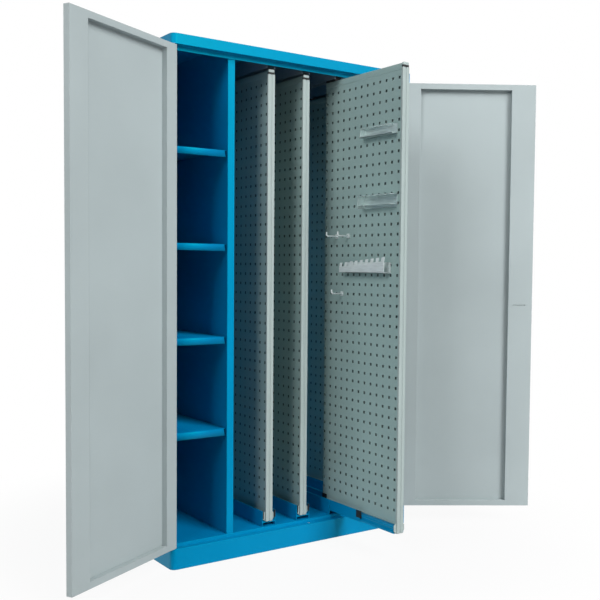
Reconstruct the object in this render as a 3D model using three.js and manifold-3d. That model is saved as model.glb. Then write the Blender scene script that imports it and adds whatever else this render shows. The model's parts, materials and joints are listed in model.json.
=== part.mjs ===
// Steel workshop tool cabinet: shelves on the left, pull-out tool panels on the right, two wide doors.
// Millimetres. +Z is up, +X is to the right seen from the front, the front faces -Y.
// It stands as photographed: both doors open, the third panel pulled out.
import * as THREE from 'three';
import { mergeVertices } from 'three/addons/utils/BufferGeometryUtils.js';
import Module from 'manifold-3d';

const wasm = await Module();
wasm.setup();

// Carcass
const cabinetWidth = 1090;
const cabinetDepth = 600;
const cabinetHeight = 1900;
const carcassSheet = 1.5;
const fasciaHeight = 37;
const plinthHeight = 75;
const rebateDepth = 26;
const lipDrop = 17;
const cornerRadius = 20;
const cornerSegments = 6;
const floorStep = 13;
const braceWidth = 120;

// Partition and shelves
const shelfBayWidth = 234.5;
const partitionThickness = 28;
const partitionSetback = 2;
const shelfCount = 4;
const shelfPitch = 343;
const lowestShelfTop = 485;
const shelfEdge = 25;
const shelfSetback = 4;

// Doors
const doorThickness = 22;
const doorSheet = 1.2;
const doorSideGap = 1.5;
const doorMeetingGap = 3;
const doorEndGap = 3;
const hingeBorder = 58;
const leftFreeBorder = 83;
const rightFreeBorder = 101;
const endBorder = 23;
const frameClearance = 0.3;
const leftDoorOpen = 151;
const rightDoorOpen = 146;

// Hinge pins
const hingeInset = 8;
const hingeSetback = 10;
const pinRadius = 4;
const pinClearance = 0.1;
const pinCollarRadius = 7;
const pinEngagement = 16;
const pinSegments = 24;

// Door lock
const lockHeight = 937;
const lockSetback = 55;
const spindleRadius = 5;
const spindleClearance = 0.1;
const rosetteRadius = 19;
const rosetteThickness = 4;
const grooveInLock = 0.3;
const leverStand = 14;
const leverThickness = 9;
const leverLength = 115;
const leverWidth = 22;
const camRadius = 22;
const camThickness = 4;
const rodWidth = 12;
const rodThickness = 4;
const rodHoleClearance = 1;
const rodStartFromSpindle = 8;
const rodEndGap = 0.5;
const slitFromFreeEdge = 29;
const slitLength = 52;
const slitWidth = 3;
const lockSegments = 24;

// Pull-out panels
const panelCount = 4;
const panelPitch = 158;
const firstPanelFromPartition = 160;
const panelSetback = 30;
const panelTopGap = 67;
const panelTravel = 411;
const pulledPanel = 3;
const panelThickness = 8;
const panelSkin = 1;
const hemThickness = 10;
const hemHeight = 23;
const profileWidth = 30;
const profileDepth = 10;
const profileGrooveWidth = 6;
const profileGrooveDepth = 2.5;
const footPlateWidth = 48;
const footPlateHeight = 38;
const footPlateThickness = 4;
const footPlateChamfer = 9;
const holePitch = 38;
const holeSize = 10;
const firstColumnFromProfile = 21.5;
const rearMargin = 8.5;
const firstRowFromTop = 49.5;
const lastRowMargin = 40;
const cutEveryNthHole = 3;

// Telescopic floor slides and top guides
const slideSheet = 2;
const runnerWidth = 48;
const runnerHeight = 28;
const ballGrooveDepth = 4;
const ballGrooveHeight = 14;
const slideSideGap = 1;
const slideWallRise = 13;
const railWebRise = 14;
const railSetback = 32;
const railRearGap = 8.5;
const middleSetback = 36;
const middleLength = 490;
const topRailWidth = 36;
const topRailGap = 5;
const guideWidth = 24;
const guideHeight = 27;
const guideLength = 60;
const guideFromRear = 10;

// Holders hung on the pulled-out panel
const holderSheet = 3;
const bitTrayFromFront = 39;
const bitTrayLength = 196;
const bitTrayBottom = 1582;
const bitTrayHeight = 38;
const bitTrayReach = 28;
const driverRackFromFront = 36;
const driverRackLength = 196;
const driverRackBottom = 1314;
const driverRackHeight = 48;
const driverRackReach = 36;
const driverNotchCount = 6;
const driverNotchWidth = 13;
const driverNotchDepth = 24;
const spannerRackFromFront = 70;
const spannerRackLength = 280;
const spannerRackBottom = 1070;
const spannerRackHeight = 48;
const spannerRackReach = 34;
const spannerNotchCount = 9;
const spannerNotchWidth = 8;
const spannerNotchDepth = 20;
const hookRadius = 3;
const hookReach = 55;
const hookTip = 16;
const hookPlate = 18;
const hookSegments = 12;
const hookColumns = [10, 8, 9];
const hookRows = [15, 15, 21];

// Colours
const blueSteel = { color: 0x0793c0, roughness: 0.42, metalness: 0.1 };
const greyPaint = { color: 0xb4bec0, roughness: 0.45, metalness: 0.05 };
const panelPaint = { color: 0x8ea09f, roughness: 0.5, metalness: 0.1 };
const profilePaint = { color: 0xb6c1c3, roughness: 0.4, metalness: 0.15 };
const zincSteel = { color: 0xa7acae, roughness: 0.35, metalness: 0.85 };
const blackPlastic = { color: 0x16181a, roughness: 0.55, metalness: 0.0 };

// Faces that the pieces share
const left = -cabinetWidth / 2;
const right = cabinetWidth / 2;
const front = -cabinetDepth / 2;
const back = cabinetDepth / 2;
const innerLeft = left + carcassSheet;
const innerRight = right - carcassSheet;
const innerBack = back - carcassSheet;
const roofUnderside = cabinetHeight - carcassSheet;
const fasciaBottom = cabinetHeight - fasciaHeight;
const rebateBack = front + rebateDepth;
const floorTop = plinthHeight + floorStep;
const partitionLeft = innerLeft + shelfBayWidth;
const partitionRight = partitionLeft + partitionThickness;

// Shape helpers: prisms along each axis from a closed outline, and solid cuts and joins
const toX = new THREE.Matrix4().makeBasis(
  new THREE.Vector3(0, 1, 0),
  new THREE.Vector3(0, 0, 1),
  new THREE.Vector3(1, 0, 0),
);
const toY = new THREE.Matrix4().makeBasis(
  new THREE.Vector3(0, 0, 1),
  new THREE.Vector3(1, 0, 0),
  new THREE.Vector3(0, 1, 0),
);

function outline(points) {
  return points.map(([u, v]) => new THREE.Vector2(u, v));
}

function prism(points, length) {
  const shape = new THREE.Shape(outline(points));
  return new THREE.ExtrudeGeometry(shape, { depth: length, bevelEnabled: false });
}

function prismAlongX(pointsYZ, x0, x1) {
  return prism(pointsYZ, x1 - x0).applyMatrix4(toX).translate(x0, 0, 0);
}

function prismAlongY(pointsXZ, y0, y1) {
  const swapped = pointsXZ.map(([x, z]) => [z, x]);
  return prism(swapped, y1 - y0).applyMatrix4(toY).translate(0, y0, 0);
}

function prismAlongZ(pointsXY, z0, z1) {
  return prism(pointsXY, z1 - z0).translate(0, 0, z0);
}

function block(x0, x1, y0, y1, z0, z1) {
  const lowX = Math.min(x0, x1);
  const highX = Math.max(x0, x1);
  const geometry = new THREE.BoxGeometry(highX - lowX, y1 - y0, z1 - z0);
  return geometry.translate((lowX + highX) / 2, (y0 + y1) / 2, (z0 + z1) / 2);
}

function barAlongX(y, z, radius, x0, x1, segments) {
  const geometry = new THREE.CylinderGeometry(radius, radius, x1 - x0, segments);
  return geometry.rotateZ(Math.PI / 2).translate((x0 + x1) / 2, y, z);
}

function barAlongY(x, z, radius, y0, y1, segments) {
  const geometry = new THREE.CylinderGeometry(radius, radius, y1 - y0, segments);
  return geometry.translate(x, (y0 + y1) / 2, z);
}

function barAlongZ(x, y, radius, z0, z1, segments) {
  const geometry = new THREE.CylinderGeometry(radius, radius, z1 - z0, segments);
  return geometry.rotateX(Math.PI / 2).translate(x, y, (z0 + z1) / 2);
}

function solid(geometry) {
  const bare = geometry.clone();
  bare.deleteAttribute('normal');
  bare.deleteAttribute('uv');
  const welded = mergeVertices(bare, 1e-4);
  return new wasm.Manifold(new wasm.Mesh({
    numProp: 3,
    vertProperties: new Float32Array(welded.attributes.position.array),
    triVerts: new Uint32Array(welded.index.array),
  }));
}

function surface(body) {
  const mesh = body.getMesh();
  const geometry = new THREE.BufferGeometry();
  geometry.setAttribute('position', new THREE.BufferAttribute(new Float32Array(mesh.vertProperties), 3));
  geometry.setIndex(new THREE.BufferAttribute(new Uint32Array(mesh.triVerts), 1));
  geometry.computeVertexNormals();
  return geometry;
}

function join(...geometries) {
  return surface(geometries.map(solid).reduce((whole, piece) => whole.add(piece)));
}

function cut(geometry, ...tools) {
  return surface(tools.map(solid).reduce((whole, piece) => whole.subtract(piece), solid(geometry)));
}

const cabinet = new THREE.Group();
cabinet.name = 'tool_cabinet';

function add(name, geometry, look) {
  const mesh = new THREE.Mesh(geometry, new THREE.MeshStandardMaterial(look));
  mesh.name = name;
  cabinet.add(mesh);
}

// Door frame: closed doors are drawn about their hinge pin, hand +1 is the left door and -1 the right one
const pinY = front + hingeSetback;
const doorHingeEdge = doorSideGap - hingeInset;
const doorFreeEdge = cabinetWidth / 2 - doorMeetingGap / 2 - hingeInset;
const doorOuter = -hingeSetback;
const doorInner = doorOuter + doorThickness;
const doorBottom = plinthHeight + doorEndGap;
const doorTop = fasciaBottom - doorEndGap;
const rodX = doorFreeEdge - lockSetback;
const rodInnerFace = doorInner - doorSheet - grooveInLock;
const rodOuterFace = rodInnerFace - rodThickness;

function pinX(hand) {
  return hand * (left + hingeInset);
}

function swing(geometry, hand) {
  const opened = hand > 0 ? -leftDoorOpen : rightDoorOpen;
  return geometry.rotateZ(THREE.MathUtils.degToRad(opened)).translate(pinX(hand), pinY, 0);
}

function doorBlock(hand, x0, x1, y0, y1, z0, z1) {
  return block(hand * x0, hand * x1, y0, y1, z0, z1);
}

function rodHole(z0, z1) {
  const x = pinX(-1) - rodX;
  const half = rodWidth / 2 + rodHoleClearance;
  const y0 = pinY + rodOuterFace - rodHoleClearance;
  const y1 = pinY + rodInnerFace + rodHoleClearance;
  return block(x - half, x + half, y0, y1, z0, z1);
}

// Side panels reach the ground and run forward at the fascia and the plinth
function sidePanel(x0) {
  return prismAlongX([
    [front + cornerRadius, 0],
    [back, 0],
    [back, roofUnderside],
    [front + cornerRadius, roofUnderside],
    [front + cornerRadius, fasciaBottom + carcassSheet],
    [rebateBack, fasciaBottom + carcassSheet],
    [rebateBack, plinthHeight - carcassSheet],
    [front + cornerRadius, plinthHeight - carcassSheet],
  ], x0, x0 + carcassSheet);
}
add('side_left', sidePanel(left), blueSteel);
add('side_right', sidePanel(innerRight), blueSteel);
add('back_panel', block(innerLeft, innerRight, innerBack, back, 0, roofUnderside), blueSteel);

// Plan of the carcass from a rear edge round both front corners, drawn in by an inset
function carcassPlan(inset, rear) {
  const radius = cornerRadius - inset;
  function corner(x, start) {
    return Array.from({ length: cornerSegments + 1 }, (unused, index) => {
      const angle = start + (index / cornerSegments) * (Math.PI / 2);
      return [x + radius * Math.cos(angle), front + cornerRadius + radius * Math.sin(angle)];
    });
  }
  return [
    [left + inset, rear],
    ...corner(left + cornerRadius, Math.PI),
    ...corner(right - cornerRadius, Math.PI * 1.5),
    [right - inset, rear],
  ];
}

// Roof sheet folded into the front fascia, the door rebate and the stop lip, with round front corners
function roof() {
  const fasciaRear = front + cornerRadius;
  const inside = carcassPlan(carcassSheet, fasciaRear + carcassSheet);
  const fascia = cut(
    prismAlongZ(carcassPlan(0, fasciaRear), fasciaBottom, cabinetHeight),
    prismAlongZ(inside, fasciaBottom - carcassSheet, roofUnderside),
  );
  const lipFront = rebateBack - carcassSheet;
  const folded = join(
    prismAlongZ(carcassPlan(0, back), roofUnderside, cabinetHeight),
    fascia,
    prismAlongZ(carcassPlan(0, rebateBack), fasciaBottom, fasciaBottom + carcassSheet),
    block(left, right, lipFront, rebateBack, fasciaBottom - lipDrop, fasciaBottom + carcassSheet),
  );
  return cut(folded, rodHole(fasciaBottom - carcassSheet, fasciaBottom + 2 * carcassSheet));
}
add('roof_with_fascia', roof(), blueSteel);

// Floor with its folded step on the plinth ledge
function floorPanel() {
  const stepFront = rebateBack - carcassSheet;
  return prismAlongX([
    [stepFront, plinthHeight],
    [rebateBack, plinthHeight],
    [rebateBack, floorTop - carcassSheet],
    [innerBack, floorTop - carcassSheet],
    [innerBack, floorTop],
    [stepFront, floorTop],
  ], innerLeft, innerRight);
}
add('floor_panel', floorPanel(), blueSteel);

// Plinth band with round front corners and the ledge that carries the lower hinge pins
function plinth() {
  const bandRear = front + cornerRadius;
  const inside = carcassPlan(carcassSheet, bandRear + carcassSheet);
  const band = cut(
    prismAlongZ(carcassPlan(0, bandRear), 0, plinthHeight),
    prismAlongZ(inside, -carcassSheet, plinthHeight - carcassSheet),
  );
  const ledge = prismAlongZ(carcassPlan(0, rebateBack), plinthHeight - carcassSheet, plinthHeight);
  return cut(join(band, ledge), rodHole(plinthHeight - 2 * carcassSheet, plinthHeight + carcassSheet));
}
add('plinth', plinth(), blueSteel);

// Channel across the middle, between the ground and the floor panel
function floorBrace() {
  const half = braceWidth / 2;
  const inner = half - carcassSheet;
  const top = floorTop - carcassSheet;
  return prismAlongX([
    [-half, 0],
    [half, 0],
    [half, top],
    [inner, top],
    [inner, carcassSheet],
    [-inner, carcassSheet],
    [-inner, top],
    [-half, top],
  ], innerLeft, innerRight);
}
add('floor_brace', floorBrace(), blueSteel);

// Partition: two skins joined by a folded front edge
function partition() {
  const y0 = rebateBack + partitionSetback;
  return prismAlongZ([
    [partitionLeft, y0],
    [partitionRight, y0],
    [partitionRight, innerBack],
    [partitionRight - carcassSheet, innerBack],
    [partitionRight - carcassSheet, y0 + carcassSheet],
    [partitionLeft + carcassSheet, y0 + carcassSheet],
    [partitionLeft + carcassSheet, innerBack],
    [partitionLeft, innerBack],
  ], floorTop, roofUnderside);
}
add('partition', partition(), blueSteel);

// Shelves, folded down at the front and the back
function shelf(top) {
  const y0 = rebateBack + shelfSetback;
  const bottom = top - shelfEdge;
  return prismAlongX([
    [y0, bottom],
    [y0 + carcassSheet, bottom],
    [y0 + carcassSheet, top - carcassSheet],
    [innerBack - carcassSheet, top - carcassSheet],
    [innerBack - carcassSheet, bottom],
    [innerBack, bottom],
    [innerBack, top],
    [y0, top],
  ], innerLeft, partitionLeft);
}
for (let index = 0; index < shelfCount; index += 1) {
  add(`shelf_${index + 1}`, shelf(lowestShelfTop + index * shelfPitch), blueSteel);
}

// Hinge pins: a collar fills the gap at the end of the door, the pin stands in the hole of its edge
function hingePin(hand, foot, direction) {
  const collar = doorEndGap - frameClearance;
  const reach = doorEndGap + pinEngagement;
  const half = [
    [0, 0],
    [pinCollarRadius, 0],
    [pinCollarRadius, collar],
    [pinRadius, collar],
    [pinRadius, reach],
    [0, reach],
  ];
  const lathe = new THREE.LatheGeometry(outline(half), pinSegments);
  return lathe.rotateX(direction * Math.PI / 2).translate(pinX(hand), pinY, foot);
}
add('hinge_pin_left_lower', hingePin(1, plinthHeight, 1), zincSteel);
add('hinge_pin_left_upper', hingePin(1, fasciaBottom, -1), zincSteel);
add('hinge_pin_right_lower', hingePin(-1, plinthHeight, 1), zincSteel);
add('hinge_pin_right_upper', hingePin(-1, fasciaBottom, -1), zincSteel);

// Door skin: outer sheet, four edge walls and the flat border folded back on the inside
function doorSkin(hand, freeBorder, extraCuts) {
  const tray = doorBlock(hand, doorHingeEdge, doorFreeEdge, doorOuter, doorInner, doorBottom, doorTop);
  const hollow = doorBlock(
    hand,
    doorHingeEdge + doorSheet,
    doorFreeEdge - doorSheet,
    doorOuter + doorSheet,
    doorInner - doorSheet,
    doorBottom + doorSheet,
    doorTop - doorSheet,
  );
  const recess = doorBlock(
    hand,
    doorHingeEdge + hingeBorder,
    doorFreeEdge - freeBorder,
    doorInner - 2 * doorSheet,
    doorInner + doorSheet,
    doorBottom + endBorder,
    doorTop - endBorder,
  );
  const pinHole = barAlongZ(
    0,
    0,
    pinRadius + pinClearance,
    doorBottom - doorSheet,
    doorTop + doorSheet,
    pinSegments,
  );
  return swing(cut(tray, hollow, recess, pinHole, ...extraCuts), hand);
}

// Recess frame: the four walls between the border and the outer sheet
function doorFrame(hand, freeBorder) {
  const x0 = doorHingeEdge + hingeBorder;
  const x1 = doorFreeEdge - freeBorder;
  const z0 = doorBottom + endBorder;
  const z1 = doorTop - endBorder;
  const y0 = doorOuter + doorSheet + frameClearance;
  const y1 = doorInner - doorSheet - frameClearance;
  const outside = doorBlock(
    hand,
    x0 - doorSheet,
    x1 + doorSheet,
    y0,
    y1,
    z0 - doorSheet,
    z1 + doorSheet,
  );
  const inside = doorBlock(hand, x0, x1, y0 - doorSheet, y1 + doorSheet, z0, z1);
  return swing(cut(outside, inside), hand);
}

// Holes of the right door: spindle, rods and the slit beside the lock
function lockCuts() {
  const half = rodWidth / 2 + rodHoleClearance;
  const y0 = rodOuterFace - rodHoleClearance;
  const y1 = doorInner - doorSheet;
  const slitStart = doorFreeEdge - slitFromFreeEdge - slitLength;
  return [
    barAlongY(-rodX, lockHeight, spindleRadius + spindleClearance, doorOuter - doorSheet, 0, lockSegments),
    doorBlock(-1, rodX - half, rodX + half, y0, y1, doorTop - 2 * doorSheet, doorTop + doorSheet),
    doorBlock(-1, rodX - half, rodX + half, y0, y1, doorBottom - doorSheet, doorBottom + 2 * doorSheet),
    doorBlock(
      -1,
      slitStart,
      slitStart + slitLength,
      doorInner - 2 * doorSheet,
      doorInner + doorSheet,
      lockHeight - slitWidth / 2,
      lockHeight + slitWidth / 2,
    ),
  ];
}
add('door_left_skin', doorSkin(1, leftFreeBorder, []), greyPaint);
add('door_left_frame', doorFrame(1, leftFreeBorder), greyPaint);
add('door_right_skin', doorSkin(-1, rightFreeBorder, lockCuts()), greyPaint);
add('door_right_frame', doorFrame(-1, rightFreeBorder), greyPaint);

// Lock: rosette on the door, lever handle with its spindle, cam and two rods inside the border
const rosetteOuter = doorOuter - grooveInLock - rosetteThickness;
const camInner = rodOuterFace - grooveInLock;
const camOuter = camInner - camThickness;

function rosette() {
  const disc = barAlongY(
    -rodX,
    lockHeight,
    rosetteRadius,
    rosetteOuter,
    doorOuter - grooveInLock,
    lockSegments,
  );
  const hole = barAlongY(
    -rodX,
    lockHeight,
    spindleRadius + spindleClearance,
    rosetteOuter - rosetteThickness,
    doorOuter + rosetteThickness,
    lockSegments,
  );
  return swing(cut(disc, hole), -1);
}

function leverHandle() {
  const leverInner = rosetteOuter - leverStand;
  const spindleEnd = camOuter - grooveInLock;
  const spindle = barAlongY(-rodX, lockHeight, spindleRadius, leverInner, spindleEnd, lockSegments);
  const half = leverWidth / 2;
  const lever = doorBlock(
    -1,
    rodX - half,
    rodX + half,
    leverInner - leverThickness,
    leverInner + spindleRadius,
    lockHeight - leverLength,
    lockHeight + half,
  );
  return swing(join(spindle, lever), -1);
}

function cam() {
  return swing(barAlongY(-rodX, lockHeight, camRadius, camOuter, camInner, lockSegments), -1);
}

function lockRod(z0, z1) {
  const half = rodWidth / 2;
  return swing(doorBlock(-1, rodX - half, rodX + half, rodOuterFace, rodInnerFace, z0, z1), -1);
}
add('lock_rosette', rosette(), zincSteel);
add('lock_handle', leverHandle(), blackPlastic);
add('lock_cam', cam(), zincSteel);
add('lock_rod_upper', lockRod(lockHeight + rodStartFromSpindle, doorTop - rodEndGap), zincSteel);
add('lock_rod_lower', lockRod(doorBottom + rodEndGap, lockHeight - rodStartFromSpindle), zincSteel);

// Pull-out panels: heights shared by every panel
const railWeb = floorTop + railWebRise;
const middleBottom = railWeb + slideSheet;
const runnerBottom = middleBottom + slideSheet;
const panelBottom = runnerBottom + runnerHeight;
const panelTop = cabinetHeight - panelTopGap;
// Sheet, runner and middle section end level at the rear when the panel is pushed in
const sheetDepth = middleSetback + middleLength - panelSetback - profileDepth;
const columnRoom = sheetDepth - firstColumnFromProfile - rearMargin;
const holeColumns = Math.floor(columnRoom / holePitch) + 1;
const firstRow = panelTop - firstRowFromTop;
const holeRows = Math.floor((firstRow - panelBottom - lastRowMargin) / holePitch) + 1;
const slideWallTop = panelBottom + slideWallRise;
const middleHalf = runnerWidth / 2 + slideSideGap + slideSheet;
const railHalf = middleHalf + slideSideGap + slideSheet;

function panelX(number) {
  return partitionRight + firstPanelFromPartition + (number - 1) * panelPitch;
}

function panelOut(number) {
  return number === pulledPanel ? panelTravel : 0;
}

function panelFront(number) {
  return front + panelSetback - panelOut(number);
}

function holeCentre(number, column, row) {
  const y = panelFront(number) + profileDepth + firstColumnFromProfile + column * holePitch;
  return [y, firstRow - row * holePitch];
}

// Panel of two perforated skins a gap apart, closed at its edges and hemmed at the top and the bottom;
// the solid has every third hole of the grid
function panelSheetBody(number) {
  const x = panelX(number);
  const y0 = panelFront(number) + profileDepth;
  const y1 = y0 + sheetDepth;
  const half = panelThickness / 2;
  const gap = half - panelSkin;
  const hem = hemThickness / 2;
  const hemAbove = panelBottom + hemHeight;
  const hemBelow = panelTop - hemHeight;
  const holes = [];
  for (let column = 0; column < holeColumns; column += cutEveryNthHole) {
    for (let row = 0; row < holeRows; row += cutEveryNthHole) {
      const [y, z] = holeCentre(number, column, row);
      const reach = holeSize / 2;
      holes.push(block(x - hem, x + hem, y - reach, y + reach, z - reach, z + reach));
    }
  }
  const closed = join(
    block(x - half, x + half, y0, y1, panelBottom, panelTop),
    block(x - hem, x + hem, y0, y1, hemBelow, panelTop),
    block(x - hem, x + hem, y0, y1, panelBottom, hemAbove),
  );
  const inside = block(x - gap, x + gap, y0 + panelSkin, y1 - panelSkin, hemAbove, hemBelow);
  return cut(closed, inside, ...holes);
}

// Grey front profile with a shallow groove down its middle and a foot plate that closes the slide
function panelProfile(number) {
  const x = panelX(number);
  const y0 = panelFront(number);
  const y1 = y0 + profileDepth;
  const half = profileWidth / 2;
  const groove = profileGrooveWidth / 2;
  const bar = prismAlongZ([
    [x - half, y0],
    [x - groove, y0],
    [x - groove, y0 + profileGrooveDepth],
    [x + groove, y0 + profileGrooveDepth],
    [x + groove, y0],
    [x + half, y0],
    [x + half, y1],
    [x - half, y1],
  ], runnerBottom, panelTop);
  const foot = footPlateWidth / 2;
  const shoulder = foot - footPlateChamfer;
  const footTop = runnerBottom + footPlateHeight;
  const plate = prismAlongY([
    [x - shoulder, runnerBottom],
    [x + shoulder, runnerBottom],
    [x + foot, runnerBottom + footPlateChamfer],
    [x + foot, footTop - footPlateChamfer],
    [x + shoulder, footTop],
    [x - shoulder, footTop],
    [x - foot, footTop - footPlateChamfer],
    [x - foot, runnerBottom + footPlateChamfer],
  ], y1 - footPlateThickness, y1);
  return join(bar, plate);
}

// Inner slide section under the panel: a tube with a ball groove in each side
function runnerSection(x, shrink) {
  const half = runnerWidth / 2 - shrink;
  const waist = half - ballGrooveDepth;
  const z0 = runnerBottom + shrink;
  const z1 = panelBottom - shrink;
  const middle = (z0 + z1) / 2;
  const grooveHalf = ballGrooveHeight / 2 + shrink;
  const grooveLow = middle - grooveHalf;
  const grooveHigh = middle + grooveHalf;
  const waistLow = grooveLow + ballGrooveDepth;
  const waistHigh = grooveHigh - ballGrooveDepth;
  return [
    [x - half, z0],
    [x + half, z0],
    [x + half, grooveLow],
    [x + waist, waistLow],
    [x + waist, waistHigh],
    [x + half, grooveHigh],
    [x + half, z1],
    [x - half, z1],
    [x - half, grooveHigh],
    [x - waist, waistHigh],
    [x - waist, waistLow],
    [x - half, grooveLow],
  ];
}

function runner(number) {
  const x = panelX(number);
  const y0 = panelFront(number) + profileDepth;
  const y1 = y0 + sheetDepth;
  const hollow = prismAlongY(runnerSection(x, slideSheet), y0 - slideSheet, y1 + slideSheet);
  return cut(prismAlongY(runnerSection(x, 0), y0, y1), hollow);
}

// Middle section: an upright channel, open at the top
function middleSlide(number) {
  const x = panelX(number);
  const inner = middleHalf - slideSheet;
  const y0 = front + middleSetback - panelOut(number) / 2;
  return prismAlongY([
    [x - middleHalf, middleBottom],
    [x + middleHalf, middleBottom],
    [x + middleHalf, slideWallTop],
    [x + inner, slideWallTop],
    [x + inner, middleBottom + slideSheet],
    [x - inner, middleBottom + slideSheet],
    [x - inner, slideWallTop],
    [x - middleHalf, slideWallTop],
  ], y0, y0 + middleLength);
}

// Floor rail: two walls that stand on the floor, with a web between them that carries the middle section
function floorRail(number) {
  const x = panelX(number);
  const inner = railHalf - slideSheet;
  return prismAlongY([
    [x - railHalf, floorTop],
    [x - inner, floorTop],
    [x - inner, railWeb],
    [x + inner, railWeb],
    [x + inner, floorTop],
    [x + railHalf, floorTop],
    [x + railHalf, slideWallTop],
    [x + inner, slideWallTop],
    [x + inner, railWeb + slideSheet],
    [x - inner, railWeb + slideSheet],
    [x - inner, slideWallTop],
    [x - railHalf, slideWallTop],
  ], front + railSetback, innerBack - railRearGap);
}

// Top rail under the roof, open downwards, and the guide block that runs in it
function topRail(number) {
  const x = panelX(number);
  const half = topRailWidth / 2;
  const bottom = panelTop + topRailGap;
  return prismAlongY([
    [x - half, bottom],
    [x - half + slideSheet, bottom],
    [x - half + slideSheet, roofUnderside - slideSheet],
    [x + half - slideSheet, roofUnderside - slideSheet],
    [x + half - slideSheet, bottom],
    [x + half, bottom],
    [x + half, roofUnderside],
    [x - half, roofUnderside],
  ], front + middleSetback, innerBack - railRearGap);
}

function topGuide(number) {
  const x = panelX(number);
  const rear = panelFront(number) + profileDepth + sheetDepth - guideFromRear;
  const half = guideWidth / 2;
  return block(x - half, x + half, rear - guideLength, rear, panelTop, panelTop + guideHeight);
}
for (let number = 1; number <= panelCount; number += 1) {
  add(`panel_${number}_sheet`, panelSheetBody(number), panelPaint);
  add(`panel_${number}_profile`, panelProfile(number), profilePaint);
  add(`panel_${number}_runner`, runner(number), blueSteel);
  add(`panel_${number}_top_guide`, topGuide(number), blackPlastic);
  add(`slide_${number}_middle`, middleSlide(number), blueSteel);
  add(`slide_${number}_floor_rail`, floorRail(number), blueSteel);
  add(`slide_${number}_top_rail`, topRail(number), zincSteel);
}

// Holders on the left face of the pulled-out panel
const holderFace = panelX(pulledPanel) - panelThickness / 2;
const holderFront = panelFront(pulledPanel);

function evenPlaces(start, length, count) {
  const step = length / count;
  return Array.from({ length: count }, (unused, index) => start + step * (index + 1 / 2));
}

// Open tray for drill bits
function bitTray() {
  const y0 = holderFront + bitTrayFromFront;
  const y1 = y0 + bitTrayLength;
  const x0 = holderFace - bitTrayReach;
  const top = bitTrayBottom + bitTrayHeight;
  const inside = block(
    x0 + holderSheet,
    holderFace - holderSheet,
    y0 + holderSheet,
    y1 - holderSheet,
    bitTrayBottom + holderSheet,
    top + holderSheet,
  );
  return cut(block(x0, holderFace, y0, y1, bitTrayBottom, top), inside);
}

// Rack: a plate on the panel and a shelf at its top, notched from its free edge
function notchedRack(fromFront, length, bottom, height, reach, notch) {
  const y0 = holderFront + fromFront;
  const top = bottom + height;
  const tip = holderFace - reach;
  const angle = join(
    block(holderFace - holderSheet, holderFace, y0, y0 + length, bottom, top),
    block(tip, holderFace, y0, y0 + length, top - holderSheet, top),
  );
  const half = notch.width / 2;
  const cuts = evenPlaces(y0, length, notch.count).map((y) => (
    block(tip - holderSheet, tip + notch.depth, y - half, y + half, top - 2 * holderSheet, top + holderSheet)
  ));
  return cut(angle, ...cuts);
}

function driverRack() {
  return notchedRack(
    driverRackFromFront,
    driverRackLength,
    driverRackBottom,
    driverRackHeight,
    driverRackReach,
    { count: driverNotchCount, width: driverNotchWidth, depth: driverNotchDepth },
  );
}

function spannerRack() {
  return notchedRack(
    spannerRackFromFront,
    spannerRackLength,
    spannerRackBottom,
    spannerRackHeight,
    spannerRackReach,
    { count: spannerNotchCount, width: spannerNotchWidth, depth: spannerNotchDepth },
  );
}

// Hook: a small plate over a hole of the panel and a round bar with a turned-up tip
function hook(column, row) {
  const [y, z] = holeCentre(pulledPanel, column, row);
  const tip = holderFace - hookReach;
  const half = hookPlate / 2;
  return join(
    block(holderFace - holderSheet, holderFace, y - half, y + half, z - half, z + half),
    barAlongX(y, z, hookRadius, tip, holderFace, hookSegments),
    barAlongZ(tip + hookRadius, y, hookRadius, z - hookRadius, z + hookTip, hookSegments),
  );
}
add('bit_tray', bitTray(), zincSteel);
add('driver_rack', driverRack(), zincSteel);
add('spanner_rack', spannerRack(), zincSteel);
hookColumns.forEach((column, index) => {
  add(`tool_hook_${index + 1}`, hook(column, hookRows[index]), zincSteel);
});

export default cabinet;
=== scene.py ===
import json
import math

import bpy
from mathutils import Matrix, Vector
from mathutils.geometry import tessellate_polygon


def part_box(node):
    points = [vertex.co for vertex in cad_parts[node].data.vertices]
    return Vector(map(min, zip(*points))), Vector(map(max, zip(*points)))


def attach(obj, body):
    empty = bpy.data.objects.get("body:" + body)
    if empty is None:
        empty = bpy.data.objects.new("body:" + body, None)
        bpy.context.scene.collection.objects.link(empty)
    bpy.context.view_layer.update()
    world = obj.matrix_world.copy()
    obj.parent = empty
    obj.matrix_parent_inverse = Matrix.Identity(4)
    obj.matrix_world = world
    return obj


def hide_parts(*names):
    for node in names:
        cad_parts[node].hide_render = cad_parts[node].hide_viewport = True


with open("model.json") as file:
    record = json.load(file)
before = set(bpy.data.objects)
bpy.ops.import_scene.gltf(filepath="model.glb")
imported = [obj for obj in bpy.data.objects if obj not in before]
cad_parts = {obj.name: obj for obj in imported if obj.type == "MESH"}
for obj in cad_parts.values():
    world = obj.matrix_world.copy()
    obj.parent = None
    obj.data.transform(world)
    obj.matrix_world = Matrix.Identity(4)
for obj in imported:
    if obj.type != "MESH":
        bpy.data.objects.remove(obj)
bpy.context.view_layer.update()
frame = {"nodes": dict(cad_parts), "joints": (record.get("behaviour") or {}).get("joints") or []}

# Studio: a plain pale floor that fades to white, a soft lamp right of the front, one far left and a weak
# one behind, and the camera at the photograph's place, 1.09 m above the floor and left of the cabinet.
camera_place = Vector((-1.9349, -3.2178, 1.0885))
camera_yaw = math.radians(35.98)
camera_pitch = math.radians(2.85)
camera_roll = math.radians(0.56)
picture_size = 600
focal_pixels = 903.2
picture_centre = (339.4, 312.6)
sensor_width = 36.0
lamp_target = Vector((0, -0.3, 0.95))
lamp_distance = 14.0
floor_reach = 12.0
shadow_reach = 0.75
white_reach = 1.6
shadow_share = 0.93
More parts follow.
